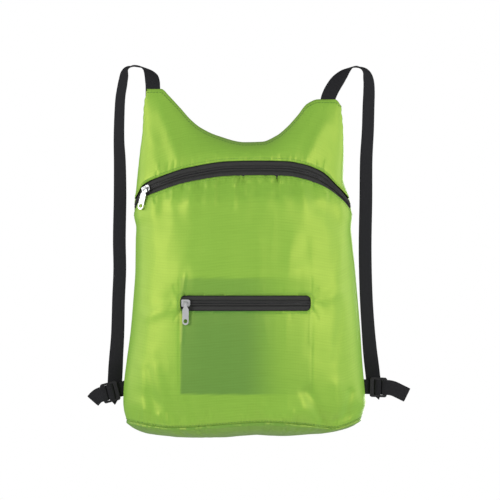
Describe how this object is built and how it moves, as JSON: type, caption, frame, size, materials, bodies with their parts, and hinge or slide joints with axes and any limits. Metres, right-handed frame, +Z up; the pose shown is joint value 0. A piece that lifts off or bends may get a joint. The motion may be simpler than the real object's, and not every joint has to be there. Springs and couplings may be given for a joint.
{
  "type": "packable backpack",
  "caption": "Stuffed lightweight nylon backpack with a scooped top, arched zip, zipped chest pocket and webbing shoulder straps, hung up by its straps.",
  "frame": {"origin": "hanging point: midway between the undersides of the two shoulder straps where they arch over their highest points", "axes": "+Z up, towards the straps' crests; the zipped front faces -Y; +X to the right of someone looking at the front"},
  "size_m": [0.4202, 0.1101, 0.4839],
  "materials": {
    "lime_cloth": "glossy ripstop nylon",
    "pouch_cloth": "glossy ripstop nylon",
    "zip_tape": "woven tape, matt",
    "zip_coil": "nylon coil, satin",
    "zip_metal": "nickel plated, bright",
    "webbing": "woven polypropylene, matt",
    "adjuster_plastic": "moulded, satin"
  },
  "bodies": {
    "bag": {"front_panel": "lime_cloth", "yoke_panel": "lime_cloth", "back_panel": "lime_cloth", "bottom_panel": "lime_cloth", "main_zip_tape": "zip_tape", "main_zip_coil": "zip_coil", "main_zip_slider": "zip_metal", "pocket_zip_tape": "zip_tape", "pocket_zip_coil": "zip_coil", "pocket_zip_slider": "zip_metal", "pocket_pouch": "pouch_cloth", "strap_left": "webbing", "strap_right": "webbing", "side_tab_left": "webbing", "side_tab_right": "webbing", "adjuster_left": "adjuster_plastic", "adjuster_right": "adjuster_plastic"},
    "main_pull_tab": {"main_zip_pull": "zip_metal"},
    "pocket_pull_tab": {"pocket_zip_pull": "zip_metal"}
  },
  "joints": [
    {"name": "main_pull_swing", "type": "hinge", "parent": "bag", "child": "main_pull_tab", "pos_m": [-0.12717, -0.04124, -0.1597], "axis": [-0.8191, 0.3699, -0.4385], "range_deg": [0, 150]},
    {"name": "pocket_pull_swing", "type": "hinge", "parent": "bag", "child": "pocket_pull_tab", "pos_m": [-0.07334, -0.0789, -0.30624], "axis": [-0.9949, 0.1007, 0], "range_deg": [0, 150]}
  ]
}
